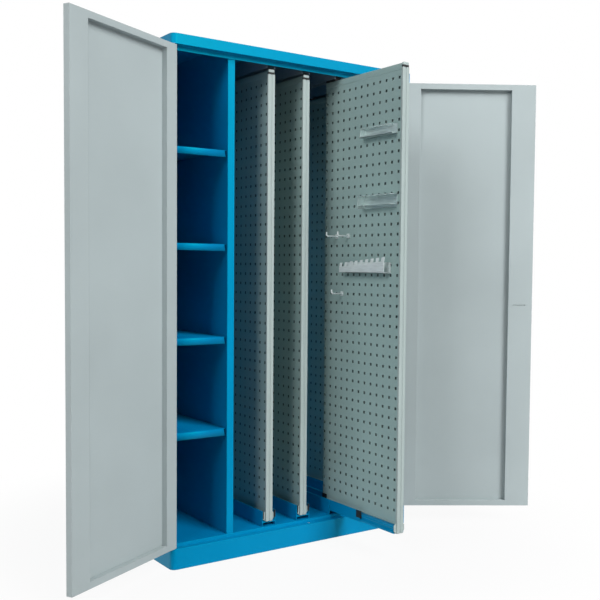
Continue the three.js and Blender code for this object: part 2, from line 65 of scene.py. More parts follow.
forward = Vector((
    math.sin(camera_yaw) * math.cos(camera_pitch),
    math.cos(camera_yaw) * math.cos(camera_pitch),
    -math.sin(camera_pitch),
))
level_right = Vector((math.cos(camera_yaw), -math.sin(camera_yaw), 0))
level_up = level_right.cross(forward)
camera_right = math.cos(camera_roll) * level_right + math.sin(camera_roll) * level_up
camera_up = -math.sin(camera_roll) * level_right + math.cos(camera_roll) * level_up
camera_data = bpy.data.cameras.new("camera")
camera_data.sensor_fit = "HORIZONTAL"
camera_data.sensor_width = sensor_width
camera_data.lens = sensor_width * focal_pixels / picture_size
camera_data.shift_x = (picture_size / 2 - picture_centre[0]) / picture_size
camera_data.shift_y = (picture_centre[1] - picture_size / 2) / picture_size
camera = bpy.data.objects.new("camera", camera_data)
camera.matrix_world = Matrix((
    (camera_right.x, camera_up.x, -forward.x, camera_place.x),
    (camera_right.y, camera_up.y, -forward.y, camera_place.y),
    (camera_right.z, camera_up.z, -forward.z, camera_place.z),
    (0, 0, 0, 1),
))
bpy.context.collection.objects.link(camera)
bpy.context.scene.camera = camera
bpy.context.scene.view_settings.view_transform = "Standard"


def lamp(name, azimuth, elevation, width, height, power):
    a, e = math.radians(azimuth), math.radians(elevation)
    away = Vector((math.sin(a) * math.cos(e), -math.cos(a) * math.cos(e), math.sin(e)))
    data = bpy.data.lights.new(name, "AREA")
    data.shape = "RECTANGLE"
    data.size = width
    data.size_y = height
    data.energy = power
    obj = bpy.data.objects.new(name, data)
    obj.location = lamp_target + away * lamp_distance
    obj.rotation_euler = away.to_track_quat("Z", "Y").to_euler()
    bpy.context.collection.objects.link(obj)


lamp("lamp_left", azimuth=-70, elevation=32, width=6.0, height=5.0, power=960)
lamp("lamp_front", azimuth=9, elevation=37, width=6.0, height=9.0, power=2250)
lamp("lamp_back", azimuth=158, elevation=40, width=8.0, height=8.0, power=900)


def seen_white(tree):
    path, clear, seen = (tree.nodes.new(kind) for kind in (
        "ShaderNodeLightPath", "ShaderNodeMath", "ShaderNodeMath",
    ))
    clear.operation = seen.operation = "MAXIMUM"
    tree.links.new(path.outputs["Is Glossy Ray"], clear.inputs[0])
    tree.links.new(path.outputs["Is Transmission Ray"], clear.inputs[1])
    tree.links.new(path.outputs["Is Camera Ray"], seen.inputs[0])
    tree.links.new(clear.outputs[0], seen.inputs[1])
    return seen


world = bpy.data.worlds.new("studio")
bpy.context.scene.world = world
world.use_nodes = True
tree = world.node_tree
tree.nodes.clear()
out = tree.nodes.new("ShaderNodeOutputWorld")
mix = tree.nodes.new("ShaderNodeMixShader")
dim = tree.nodes.new("ShaderNodeBackground")
dim.inputs["Color"].default_value = (0.9, 0.95, 1.0, 1)
dim.inputs["Strength"].default_value = 0.01
white = tree.nodes.new("ShaderNodeBackground")
white.inputs["Color"].default_value = (1, 1, 1, 1)
white.inputs["Strength"].default_value = 1.0
tree.links.new(seen_white(tree).outputs[0], mix.inputs["Fac"])
tree.links.new(dim.outputs[0], mix.inputs[1])
tree.links.new(white.outputs[0], mix.inputs[2])
tree.links.new(mix.outputs[0], out.inputs["Surface"])

floor_mesh = bpy.data.meshes.new("studio_floor")
floor_corners = [(-1, -1), (1, -1), (1, 1), (-1, 1)]
floor_points = [(x * floor_reach, y * floor_reach, 0) for x, y in floor_corners]
floor_mesh.from_pydata(floor_points, [], [(0, 1, 2, 3)])
floor = bpy.data.objects.new("studio_floor", floor_mesh)
bpy.context.collection.objects.link(floor)
floor_look = bpy.data.materials.new("studio_floor")
floor_look.use_nodes = True
tree = floor_look.node_tree
tree.nodes.clear()
out = tree.nodes.new("ShaderNodeOutputMaterial")
mix = tree.nodes.new("ShaderNodeMixShader")
place = tree.nodes.new("ShaderNodeTexCoord")
away = tree.nodes.new("ShaderNodeVectorMath")
away.operation = "LENGTH"
fade = tree.nodes.new("ShaderNodeMapRange")
fade.interpolation_type = "SMOOTHSTEP"
fade.inputs["From Min"].default_value = shadow_reach
fade.inputs["From Max"].default_value = white_reach
fade.inputs["To Min"].default_value = shadow_share
fade.inputs["To Max"].default_value = 1.0
share = tree.nodes.new("ShaderNodeMath")
share.operation = "MULTIPLY"
matt = tree.nodes.new("ShaderNodeBsdfDiffuse")
matt.inputs["Color"].default_value = (0.5, 0.5, 0.51, 1)
glow = tree.nodes.new("ShaderNodeEmission")
glow.inputs["Color"].default_value = (1, 1, 1, 1)
tree.links.new(place.outputs["Object"], away.inputs[0])
tree.links.new(away.outputs["Value"], fade.inputs["Value"])
tree.links.new(seen_white(tree).outputs[0], share.inputs[0])
tree.links.new(fade.outputs["Result"], share.inputs[1])
tree.links.new(share.outputs[0], mix.inputs["Fac"])
tree.links.new(matt.outputs[0], mix.inputs[1])
tree.links.new(glow.outputs[0], mix.inputs[2])
tree.links.new(mix.outputs[0], out.inputs["Surface"])
floor_mesh.materials.append(floor_look)

# Carcass: sides, back, roof, floor, plinth, brace and partition of folded sheet steel, spot welded
# and powder coated in one bright blue with a fine orange-peel skin. Painted shade darkens the coat
# inside hollows, and the edges are rubbed lighter and carry a painted highlight.


def coated_sheet():
    group = bpy.data.node_groups.new("coated_sheet", "ShaderNodeTree")
    for name in ("Paint", "Edge"):
        group.interface.new_socket(name, in_out="INPUT", socket_type="NodeSocketColor")
    group.interface.new_socket("Colour", in_out="OUTPUT", socket_type="NodeSocketColor")
    group.interface.new_socket("Roughness", in_out="OUTPUT", socket_type="NodeSocketFloat")
    group.interface.new_socket("Normal", in_out="OUTPUT", socket_type="NodeSocketVector")
    add, link = group.nodes.new, group.links.new
    given, result = add("NodeGroupInput"), add("NodeGroupOutput")
    place = add("ShaderNodeTexCoord")
    cloud = add("ShaderNodeTexNoise")
    cloud.inputs["Scale"].default_value = 2.4
    cloud.inputs["Detail"].default_value = 4
    tone = add("ShaderNodeMapRange")
    tone.inputs["From Min"].default_value = 0.3
    tone.inputs["From Max"].default_value = 0.7
    tone.inputs["To Min"].default_value = 0.95
    tone.inputs["To Max"].default_value = 1.04
    toned = add("ShaderNodeVectorMath")
    toned.operation = "SCALE"
    bevel = add("ShaderNodeBevel")
    bevel.samples = 4
    bevel.inputs["Radius"].default_value = 0.002
    shape = add("ShaderNodeNewGeometry")
    turn = add("ShaderNodeVectorMath")
    turn.operation = "DOT_PRODUCT"
    # Lighter colour along the edges: rubbed wear and a painted highlight.
    edge = add("ShaderNodeMapRange")
    edge.inputs["From Min"].default_value = 0.995
    edge.inputs["From Max"].default_value = 0.8
    edge.inputs["To Min"].default_value = 0.0
    edge.inputs["To Max"].default_value = 0.5
    edge_wear_and_highlight = add("ShaderNodeMix")
    edge_wear_and_highlight.data_type = "RGBA"
    # Painted shade: ambient occlusion darkens the colour down to 5 % inside hollows, holes and channels.
    hollow = add("ShaderNodeAmbientOcclusion")
    hollow.samples = 6
    hollow.only_local = True
    hollow.inputs["Distance"].default_value = 0.04
    painted_hollow_shade = add("ShaderNodeMapRange")
    painted_hollow_shade.inputs["From Max"].default_value = 0.4
    painted_hollow_shade.inputs["To Min"].default_value = 0.05
    coat = add("ShaderNodeVectorMath")
    coat.operation = "SCALE"
    peel = add("ShaderNodeTexNoise")
    peel.inputs["Scale"].default_value = 620
    peel.inputs["Detail"].default_value = 2
    bump = add("ShaderNodeBump")
    bump.inputs["Strength"].default_value = 0.06
    bump.inputs["Distance"].default_value = 0.0004
    gloss = add("ShaderNodeMapRange")
    gloss.inputs["To Min"].default_value = 0.46
    gloss.inputs["To Max"].default_value = 0.58
    link(place.outputs["Object"], cloud.inputs["Vector"])
    link(place.outputs["Object"], peel.inputs["Vector"])
    link(cloud.outputs["Fac"], tone.inputs["Value"])
    link(given.outputs["Paint"], toned.inputs[0])
    link(tone.outputs["Result"], toned.inputs["Scale"])
    link(bevel.outputs["Normal"], turn.inputs[0])
    link(shape.outputs["Normal"], turn.inputs[1])
    link(turn.outputs["Value"], edge.inputs["Value"])
    link(edge.outputs["Result"], edge_wear_and_highlight.inputs["Factor"])
    link(toned.outputs["Vector"], edge_wear_and_highlight.inputs["A"])
    link(given.outputs["Edge"], edge_wear_and_highlight.inputs["B"])
    link(peel.outputs["Fac"], bump.inputs["Height"])
    link(bevel.outputs["Normal"], bump.inputs["Normal"])
    link(cloud.outputs["Fac"], gloss.inputs["Value"])
    link(hollow.outputs["AO"], painted_hollow_shade.inputs["Value"])
    link(edge_wear_and_highlight.outputs["Result"], coat.inputs[0])
    link(painted_hollow_shade.outputs["Result"], coat.inputs["Scale"])
    link(coat.outputs["Vector"], result.inputs["Colour"])
    link(gloss.outputs["Result"], result.inputs["Roughness"])
    link(bump.outputs["Normal"], result.inputs["Normal"])
    return group


coating = coated_sheet()


def painted(name, paint, edge, sheen=0.22, sheen_tint=(1, 1, 1)):
    look = bpy.data.materials.new(name)
    look.use_nodes = True
    tree = look.node_tree
    skin = tree.nodes.new("ShaderNodeGroup")
    skin.node_tree = coating
    skin.inputs["Paint"].default_value = (*paint, 1)
    skin.inputs["Edge"].default_value = (*edge, 1)
    shader = tree.nodes["Principled BSDF"]
    shader.inputs["Specular IOR Level"].default_value = sheen
    shader.inputs["Specular Tint"].default_value = (*sheen_tint, 1)
    tree.links.new(skin.outputs["Colour"], shader.inputs["Base Color"])
    tree.links.new(skin.outputs["Roughness"], shader.inputs["Roughness"])
    tree.links.new(skin.outputs["Normal"], shader.inputs["Normal"])
    return look


def dress(node, look):
    mesh = frame["nodes"][node].data
    mesh.materials.clear()
    mesh.materials.append(look)


blue_paint = painted(
    "blue_paint", paint=(0.0, 0.19, 0.45), edge=(0.002, 0.28, 0.52),
    sheen=0.95, sheen_tint=(0, 1, 0.25),
)
for node in (
    "side_left", "side_right", "back_panel", "roof_with_fascia", "floor_panel", "plinth", "floor_brace",
    "partition",
):
    dress(node, blue_paint)

# Shelves: blue trays bent from one sheet. The front flange is cut short at both ends and its upper
# corners are rounded; the tray is folded down again at the back and rests between side and partition.
shelf_sheet = 0.0015
shelf_bend = 0.003
shelf_corner = 0.012
shelf_foot_gap = 0.008
bend_steps = 4
shelf_count = 4
crease_angle = math.radians(32)


def make(name, points, faces, look, body, slot, stands_for=()):
    mesh = bpy.data.meshes.new(name)
    mesh.from_pydata(points, [], faces)
    mesh.validate()
    mesh.materials.append(look)
    mesh.polygons.foreach_set("use_smooth", [True] * len(mesh.polygons))
    mesh.set_sharp_from_angle(angle=crease_angle)
    obj = bpy.data.objects.new(name, mesh)
    bpy.context.collection.objects.link(obj)
    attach(obj, body)
    if stands_for:
        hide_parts(*stands_for)
    return obj


def shelf_rows(low, high):
    rows = [(low.y, low.z, shelf_foot_gap), (low.y, high.z - shelf_bend, shelf_corner)]
    for step in range(1, bend_steps + 1):
        angle = math.pi / 2 * step / bend_steps
        y = low.y + shelf_bend * (1 - math.cos(angle))
        z = high.z - shelf_bend * (1 - math.sin(angle))
        rows.append((y, z, shelf_corner))
    for step in range(1, bend_steps + 1):
        angle = math.pi / 2 * step / bend_steps
        y = low.y + shelf_bend + shelf_corner * (1 - math.cos(angle))
        rows.append((y, high.z, shelf_corner * (1 - math.sin(angle))))
    rows.append((high.y - shelf_bend, high.z, 0))
    for step in range(1, bend_steps + 1):
        angle = math.pi / 2 * step / bend_steps
        y = high.y - shelf_bend * (1 - math.sin(angle))
        z = high.z - shelf_bend * (1 - math.cos(angle))
        rows.append((y, z, 0))
    rows.append((high.y, low.z, 0))
    return rows


for number in range(1, shelf_count + 1):
    low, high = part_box(f"shelf_{number}")
    rows = shelf_rows(low, high)
    points = [(x, y, z) for y, z, inset in rows for x in (low.x + inset, high.x - inset)]
    faces = [(2 * i, 2 * i + 1, 2 * i + 3, 2 * i + 2) for i in range(len(rows) - 1)]
    tray = make(
        f"shelf_tray_{number}", points, faces, blue_paint, "carcass", "blue_steel", [f"shelf_{number}"],
    )
    sheet = tray.modifiers.new("sheet", "SOLIDIFY")
    sheet.thickness = shelf_sheet
    sheet.offset = -1

# Doors: folded sheet steel pans, powder coated light grey, with a stiffening frame welded in that
# leaves a flat border round a deep recess. They hang on steel pins at the front corners.
door_paint = painted("door_paint", paint=(0.378, 0.435, 0.442), edge=(0.47, 0.53, 0.54))
for node in ("door_left_skin", "door_left_frame", "door_right_skin", "door_right_frame"):
    dress(node, door_paint)

# Hinge pins and lock: turned pins, cam and flat rods of zinc-plated steel with a faint drawn grain.
# The rosette is turned and plated; the lever is moulded in black plastic with rounded edges.
lever_thickness = 0.014
lever_tip_share = 0.72
lever_round = 0.0035
lever_round_steps = 3
lever_edge_angle = math.radians(50)
spindle_radius = 0.005
bore_gap = 0.0001
rosette_lip = 0.0012
dish_rim_share = 0.6
dish_floor_share = 0.55
turned_sides = 32
dark_grain_share = 0.82
grain_shine = 0.06
grain_dullness = 0.08
dark_speck_share = 0.8
light_speck_share = 1.2
upward = Vector((0, 0, 1))


def plated(name, tint, rough, metal=0.55):
    look = bpy.data.materials.new(name)
    look.use_nodes = True
    tree = look.node_tree
    add, link = tree.nodes.new, tree.links.new
    shader = tree.nodes["Principled BSDF"]
    shader.inputs["Metallic"].default_value = metal
    place, stretch = add("ShaderNodeTexCoord"), add("ShaderNodeMapping")
    stretch.inputs["Scale"].default_value = (240, 18, 240)
    grain = add("ShaderNodeTexNoise")
    grain.inputs["Scale"].default_value = 1.0
    grain.inputs["Detail"].default_value = 3
    ramp = add("ShaderNodeValToRGB")
    ramp.color_ramp.elements[0].position = 0.3
    ramp.color_ramp.elements[1].position = 0.7
    ramp.color_ramp.elements[0].color = (*(dark_grain_share * c for c in tint), 1)
    ramp.color_ramp.elements[1].color = (*tint, 1)
    gloss = add("ShaderNodeMapRange")
    gloss.inputs["To Min"].default_value = rough - grain_shine
    gloss.inputs["To Max"].default_value = rough + grain_dullness
    link(place.outputs["Object"], stretch.inputs["Vector"])
    link(stretch.outputs["Vector"], grain.inputs["Vector"])
    link(grain.outputs["Fac"], ramp.inputs["Fac"])
    link(grain.outputs["Fac"], gloss.inputs["Value"])
    link(ramp.outputs["Color"], shader.inputs["Base Color"])
    link(gloss.outputs["Result"], shader.inputs["Roughness"])
    return look


def moulded(name, tint):
    look = bpy.data.materials.new(name)
    look.use_nodes = True
    tree = look.node_tree
    add, link = tree.nodes.new, tree.links.new
    shader = tree.nodes["Principled BSDF"]
    shader.inputs["Specular IOR Level"].default_value = 0.3
    place, grain = add("ShaderNodeTexCoord"), add("ShaderNodeTexNoise")
    grain.inputs["Scale"].default_value = 900
    ramp = add("ShaderNodeValToRGB")
    ramp.color_ramp.elements[0].color = (*(dark_speck_share * c for c in tint), 1)
    ramp.color_ramp.elements[1].color = (*(light_speck_share * c for c in tint), 1)
    bump = add("ShaderNodeBump")
    bump.inputs["Strength"].default_value = 0.15
    bump.inputs["Distance"].default_value = 0.0003
    gloss = add("ShaderNodeMapRange")
    gloss.inputs["To Min"].default_value = 0.45
    gloss.inputs["To Max"].default_value = 0.62
    link(place.outputs["Object"], grain.inputs["Vector"])
    link(grain.outputs["Fac"], ramp.inputs["Fac"])
    link(grain.outputs["Fac"], bump.inputs["Height"])
    link(grain.outputs["Fac"], gloss.inputs["Value"])
    link(ramp.outputs["Color"], shader.inputs["Base Color"])
    link(bump.outputs["Normal"], shader.inputs["Normal"])
    link(gloss.outputs["Result"], shader.inputs["Roughness"])
    return look


def turned(rings, centre, axis, bored=False):
    axis = axis.normalized()
    side = axis.orthogonal().normalized()
    across = axis.cross(side)
    points = []
    for radius, along in rings:
        for i in range(turned_sides):
            angle = 2 * math.pi * i / turned_sides
            around = side * math.cos(angle) + across * math.sin(angle)
            points.append(centre + axis * along + around * radius)
    count = len(rings)
    faces = []
    for ring in range(count if bored else count - 1):
        a, b = ring * turned_sides, (ring + 1) % count * turned_sides
        for i in range(turned_sides):
            j = (i + 1) % turned_sides
            faces.append((a + i, a + j, b + j, b + i))
    if not bored:
        faces.append(tuple(reversed(range(turned_sides))))
        faces.append(tuple(range((count - 1) * turned_sides, count * turned_sides)))
    return points, faces


def turns_left(outline):
    return sum(
        outline[i - 1][0] * outline[i][1] - outline[i][0] * outline[i - 1][1] for i in range(len(outline))
    ) > 0


def cut_plate(outline, thickness, corner, across, up, holes=()):
    normal = across.cross(up)
    loops = [list(outline), *(list(hole) for hole in holes)]
    flat = [point for loop in loops for point in loop]
    count = len(flat)
    points = [
        corner + across * u + up * v + normal * (side * thickness / 2) for side in (-1, 1) for u, v in flat
    ]
    if holes:
        cap = tessellate_polygon([[Vector((u, v, 0)) for u, v in loop] for loop in loops])
        cap = [face if turns_left([flat[i] for i in face]) else tuple(reversed(face)) for face in cap]
    else:
        cap = [tuple(range(count))]
    faces = [tuple(reversed(face)) for face in cap] + [tuple(count + i for i in face) for face in cap]
    start = 0
    for number, loop in enumerate(loops):
        size = len(loop)
        for i in range(size):
            a, b = start + i, start + (i + 1) % size
            wall = (a, b, count + b, count + a)
            faces.append(wall if number == 0 else tuple(reversed(wall)))
        start += size
    return points, faces


def softened(corners, radius, steps=5):
    points = []
    for i, corner in enumerate(corners):
        corner = Vector(corner)
        before = Vector(corners[i - 1]) - corner
        after = Vector(corners[(i + 1) % len(corners)]) - corner
        start = corner + before.normalized() * min(radius, before.length / 2)
        end = corner + after.normalized() * min(radius, after.length / 2)
        for step in range(steps + 1):
            t = step / steps
            points.append(start * (1 - t) ** 2 + corner * (2 * t * (1 - t)) + end * t ** 2)
    return [(point.x, point.y) for point in points]


def merged(*parts):
    points, faces = [], []
    for more_points, more_faces in parts:
        start = len(points)
        points += more_points
        faces += [[start + i for i in face] for face in more_faces]
    return points, faces


zinc = plated("zinc_plate", tint=(0.66, 0.77, 0.76), rough=0.42)
black_plastic = moulded("black_plastic", tint=(0.012, 0.013, 0.014))
for node in (
    "hinge_pin_left_lower", "hinge_pin_left_upper", "hinge_pin_right_lower", "hinge_pin_right_upper",
    "lock_cam", "lock_rod_upper", "lock_rod_lower",
):
    dress(node, zinc)

lock = next(joint for joint in frame["joints"] if joint["name"] == "lock_turn")
spindle, outward = Vector(lock["pos_m"]), -Vector(lock["axis"])
along_door = upward.cross(outward)


def spread(node, direction):
    reach = [(vertex.co - spindle).dot(direction) for vertex in frame["nodes"][node].data.vertices]
    return min(reach), max(reach)


rosette_inner, rosette_outer = spread("lock_rosette", outward)
rosette_radius = spread("lock_rosette", upward)[1]
bore_radius = spindle_radius + bore_gap
rosette = turned(
    [
        (bore_radius, rosette_inner), (rosette_radius, rosette_inner),
        (rosette_radius, rosette_outer - rosette_lip), (rosette_radius - rosette_lip, rosette_outer),
        (rosette_radius * dish_rim_share, rosette_outer),
        (rosette_radius * dish_floor_share, rosette_outer - rosette_lip),
        (bore_radius, rosette_outer - rosette_lip),
    ],
    spindle, outward, bored=True,
)
make("rosette_ring", *rosette, zinc, "door_right", "zinc_steel", ["lock_rosette"])

lever_inner, lever_outer = spread("lock_handle", outward)
lever_low, lever_high = spread("lock_handle", upward)
lever_half = lever_high
lever_tip = lever_half * lever_tip_share
lever_outline = softened(
    [
        (-lever_half, lever_high), (-lever_half, -lever_half), (-lever_tip, lever_low),
        (lever_tip, lever_low), (lever_half, -lever_half), (lever_half, lever_high),
    ],
    lever_half,
)
grip_centre = spindle + outward * (lever_outer - lever_thickness / 2)
grip = cut_plate(lever_outline, lever_thickness, grip_centre, along_door, upward)
shaft = turned(
    [(spindle_radius, lever_inner), (spindle_radius, lever_outer - lever_thickness)], spindle, outward,
)
lever = make(
    "lever", *merged(grip, shaft), black_plastic, "lock_lever", "black_plastic", ["lock_handle"],
)
edges = lever.modifiers.new("rounded edges", "BEVEL")
edges.width = lever_round
edges.segments = lever_round_steps
edges.limit_method = "ANGLE"
edges.angle_limit = lever_edge_angle

# Pull-out panels: two light grey steel skins with square holes at 38 mm pitch, hemmed and riveted, behind
# a grooved front profile with a black band, a rounded cap and an eight-sided foot plate. A black block
# guides each panel in the top rail and a black moulded shoe covers its lower rear corner.
panel_count = 4
hole_pitch = 0.038
hole_size = 0.010
hole_columns = 13
hole_rows = 43
first_column = 0.0215
first_row = 0.0495
top_hem = 0.023
bottom_hem = 0.009
panel_half = 0.004
skin = 0.001
rivet_radius = 0.0035
rivet_height = 0.0012
rivet_drop = 0.012
rivet_inset = 0.032
rivet_dome = [(1.0, 0.0), (0.92, 0.45), (0.6, 0.88), (0.2, 1.0)]
profile_width = 0.030
groove_half = 0.003
groove_depth = 0.0025
profile_round = 0.003
band_height = 0.008
cap_height = 0.010
cap_share = 0.88
cap_shoulder_share = cap_share * 0.95
cap_crown_share = cap_share * 0.84
band_share = 0.94
foot_half = 0.024
foot_height = 0.038
foot_chamfer = 0.009
foot_thickness = 0.004
foot_gap = 0.0004
glide_length = 0.030
glide_height = 0.022
glide_wall = 0.001
glide_round = 0.004
rightward, backward = Vector((1, 0, 0)), Vector((0, 1, 0))


def perforated(low, high, x):
    half = hole_size / 2
    ys, zs = [low.y], [low.z]
    for column in range(hole_columns):
        y = low.y + first_column + column * hole_pitch
        ys += [y - half, y + half]
    for row in reversed(range(hole_rows)):
        z = high.z - first_row - row * hole_pitch
        zs += [z - half, z + half]
    ys.append(high.y)
    zs.append(high.z)
    rows, columns = len(zs), len(ys)
    points = [Vector((x + side * skin / 2, y, z)) for side in (-1, 1) for z in zs for y in ys]

    def at(side, row, column):
        return (side * rows + row) * columns + column

    def is_open(row, column):
        inside = 0 <= row < rows - 1 and 0 <= column < columns - 1
        return not inside or (row % 2 == 1 and column % 2 == 1)

    faces = []
    for row in range(rows - 1):
        for column in range(columns - 1):
            if is_open(row, column):
                continue
            ring = [(row, column), (row + 1, column), (row + 1, column + 1), (row, column + 1)]
            faces.append([at(0, *corner) for corner in ring])
            faces.append([at(1, *corner) for corner in reversed(ring)])
            for step, a, b in (
                ((-1, 0), ring[0], ring[3]),
                ((1, 0), ring[2], ring[1]),
                ((0, -1), ring[1], ring[0]),
                ((0, 1), ring[3], ring[2]),
            ):
                if is_open(row + step[0], column + step[1]):
                    faces.append([at(0, *a), at(0, *b), at(1, *b), at(1, *a)])
    return points, faces


def hem(low, high, bottom, top):
    half = (high.x - low.x) / 2
    outline = softened([(-half, bottom), (half, bottom), (half, top), (-half, top)], half / 2, steps=3)
    middle = Vector(((low.x + high.x) / 2, (low.y + high.y) / 2, 0))
    return cut_plate(outline, high.y - low.y, middle, rightward, upward)


def rivet(place, direction):
    rings = [(share * rivet_radius, rise * rivet_height) for share, rise in rivet_dome]
    return turned(rings, place, rightward * direction)


def lofted(outline, centre, levels):
    points = [centre + Vector((u * share, v * share, z)) for z, share in levels for u, v in outline]
    size = len(outline)
    faces = [tuple(reversed(range(size)))]
    for level in range(len(levels) - 1):
        a = level * size
        for i in range(size):
            j = (i + 1) % size
            faces.append((a + i, a + j, a + size + j, a + size + i))
    faces.append(tuple(range(len(points) - size, len(points))))
    return points, faces


panel_paint = painted("panel_paint", paint=(0.305, 0.425, 0.41), edge=(0.40, 0.51, 0.49))
profile_paint = painted("profile_paint", paint=(0.355, 0.425, 0.415), edge=(0.47, 0.53, 0.52))
for number in range(1, panel_count + 1):
    body = f"pull_out_{number}"
    low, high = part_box(f"panel_{number}_sheet")
    middle = (low.x + high.x) / 2
    rivet_z = high.z - rivet_drop
    rivets = [
        rivet(Vector((x, y, rivet_z)), direction)
        for x, direction in ((low.x, -1), (high.x, 1))
        for y in (low.y + rivet_inset, high.y - rivet_inset)
    ]
    rear_outline = [
        (-panel_half, low.z), (panel_half, low.z), (panel_half, high.z), (-panel_half, high.z),
    ]
    rear_edge = cut_plate(
        rear_outline, skin, Vector((middle, high.y - skin / 2, 0)), rightward, upward,
    )
    make(
        f"perforated_sheet_{number}",
        *merged(
            perforated(low, high, middle - panel_half + skin / 2),
            perforated(low, high, middle + panel_half - skin / 2),
            rear_edge,
            hem(low, high, high.z - top_hem, high.z),
            hem(low, high, low.z, low.z + bottom_hem),
            *rivets,
        ),
        panel_paint, body, "panel_paint", [f"panel_{number}_sheet"],
    )

    low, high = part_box(f"panel_{number}_profile")
    centre = Vector(((low.x + high.x) / 2, (low.y + high.y) / 2, 0))
    half_width, half_depth = profile_width / 2, (high.y - low.y) / 2
    face, groove_bed = -half_depth, groove_depth - half_depth
    outline = softened(
        [
            (-half_width, face), (-groove_half, face), (-groove_half, groove_bed), (groove_half, groove_bed),
            (groove_half, face), (half_width, face), (half_width, half_depth), (-half_width, half_depth),
        ],
        profile_round / 2, steps=3,
    )
    plain = softened(
        [(-half_width, face), (half_width, face), (half_width, half_depth), (-half_width, half_depth)],
        profile_round,
    )
    band_low, cap_low = high.z - cap_height - band_height, high.z - cap_height
    bar = lofted(outline, centre, [(low.z + foot_gap, 1), (band_low, 1)])
    cap = lofted(plain, centre, [
        (cap_low, cap_share), (high.z - profile_round, cap_share),
        (high.z - profile_round / 4, cap_shoulder_share), (high.z, cap_crown_share),
    ])
    shoulder = foot_half - foot_chamfer
    foot = cut_plate(
        softened(
            [
                (-shoulder, 0), (shoulder, 0),
                (foot_half, foot_chamfer), (foot_half, foot_height - foot_chamfer),
                (shoulder, foot_height), (-shoulder, foot_height),
                (-foot_half, foot_height - foot_chamfer), (-foot_half, foot_chamfer),
            ],
            profile_round,
        ),
        foot_thickness, Vector((centre.x, high.y - foot_thickness / 2, low.z + foot_gap)),
        rightward, upward,
    )
    make(
        f"front_profile_{number}", *merged(bar, cap, foot), profile_paint, body, "profile_paint",
        [f"panel_{number}_profile"],
    )
    band = lofted(plain, centre, [(band_low, band_share), (cap_low, band_share)])
    make(f"profile_band_{number}", *band, black_plastic, body, "black_plastic")
    dress(f"panel_{number}_top_guide", black_plastic)

    low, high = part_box(f"panel_{number}_sheet")
    glide = cut_plate(
        softened(
            [(-glide_length, 0), (0, 0), (0, glide_height), (-glide_length, glide_height)], glide_round,
        ),
        high.x - low.x + 2 * glide_wall, Vector(((low.x + high.x) / 2, high.y + glide_wall, low.z)),
        backward, upward,
    )
    make(f"rear_glide_{number}", *glide, black_plastic, body, "black_plastic")

# Telescopic slides: blue outer channel on the floor, blue middle section and inner runner, each
# roll-formed, with a black bumper clipped on both walls at the middle section's front end. The top
# rail above each panel is dull plated steel, painted darker as shade under the roof.
bumper_skin = 0.0008
bumper_inside = 0.0024
bumper_front = 0.007
bumper_back = 0.024
bumper_height = 0.028
# Darker copy of the zinc plating: painted shade for the top rails under the roof.
shaded_zinc = plated("shaded_zinc", tint=(0.25, 0.33, 0.40), rough=0.58)
for number in range(1, panel_count + 1):
    for node in (f"slide_{number}_floor_rail", f"slide_{number}_middle", f"panel_{number}_runner"):
        dress(node, blue_paint)
    dress(f"slide_{number}_top_rail", shaded_zinc)
    low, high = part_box(f"slide_{number}_middle")
    clips = []
    for wall, inward in ((low.x, 1), (high.x, -1)):
        outside, inside = -bumper_skin * inward, bumper_inside * inward
        outline = [
            (outside, -bumper_front), (inside, -bumper_front), (inside, 0), (0, 0), (0, bumper_back),
            (outside, bumper_back),
        ]
        if not turns_left(outline):
            outline.reverse()
        corner = Vector((wall, low.y, high.z - bumper_height / 2))
        clips.append(cut_plate(outline, bumper_height, corner, rightward, backward))
    make(
        f"slide_bumper_{number}", *merged(*clips), black_plastic, f"middle_slide_{number}",
        "black_plastic",
    )

# Holders hung in the holes of the third panel, bent from plated sheet and wire: one with a drilled strip
# over a lipped shelf, one with two drilled strips, one whose sloping front ends in a bent row of teeth,
# and three hooks of bent wire on small plates.
holder_sheet = 0.0015
bit_count = 10
bit_largest = 0.0075
bit_smallest = 0.003
bit_strip_reach = 0.020
bit_strip_start = 0.026
bit_lip = 0.006
driver_count = 6
driver_hole = 0.0065
driver_low_hole = 0.004
driver_strip_rise = 0.010
comb_teeth = 9
comb_tooth_share = 0.52
comb_notch_depth = 0.016
comb_flange = 0.020
comb_low_end = 0.018
comb_high_end = 0.040
comb_lean = math.radians(14)
wire_radius = 0.003
wire_bend = 0.008
wire_sides = 12
wire_bend_steps = 6
hook_count = 3
bright_zinc = plated("bright_zinc", tint=(0.80, 0.87, 0.87), rough=0.38, metal=0.25)


def ring_hole(u, v, radius, sides=20):
    return [
        (u + radius * math.cos(-2 * math.pi * i / sides), v + radius * math.sin(-2 * math.pi * i / sides))
        for i in range(sides)
    ]


def strip(low, high, z, start, reach, radii):
    end = high.y - low.y
    outline = softened([(-reach, start), (0, start), (0, end), (-reach, end)], holder_sheet)
    step = (end - start) / len(radii)
    middle = -(reach + holder_sheet) / 2
    holes = [ring_hole(middle, start + (i + 0.5) * step, radius) for i, radius in enumerate(radii)]
    return cut_plate(outline, holder_sheet, Vector((high.x, low.y, z)), rightward, backward, holes)


def back_plate(low, high, top):
    length = high.y - low.y
    outline = softened([(0, low.z), (length, low.z), (length, top), (0, top)], 2 * holder_sheet)
    return cut_plate(outline, holder_sheet, Vector((high.x - holder_sheet / 2, low.y, 0)), backward, upward)


def end_plate(low, high, y, bottom_reach, top_reach):
    outline = softened(
        [(-bottom_reach, low.z), (0, low.z), (0, high.z), (-top_reach, high.z)], 2 * holder_sheet,
    )
    return cut_plate(outline, holder_sheet, Vector((high.x, y, 0)), rightward, upward)


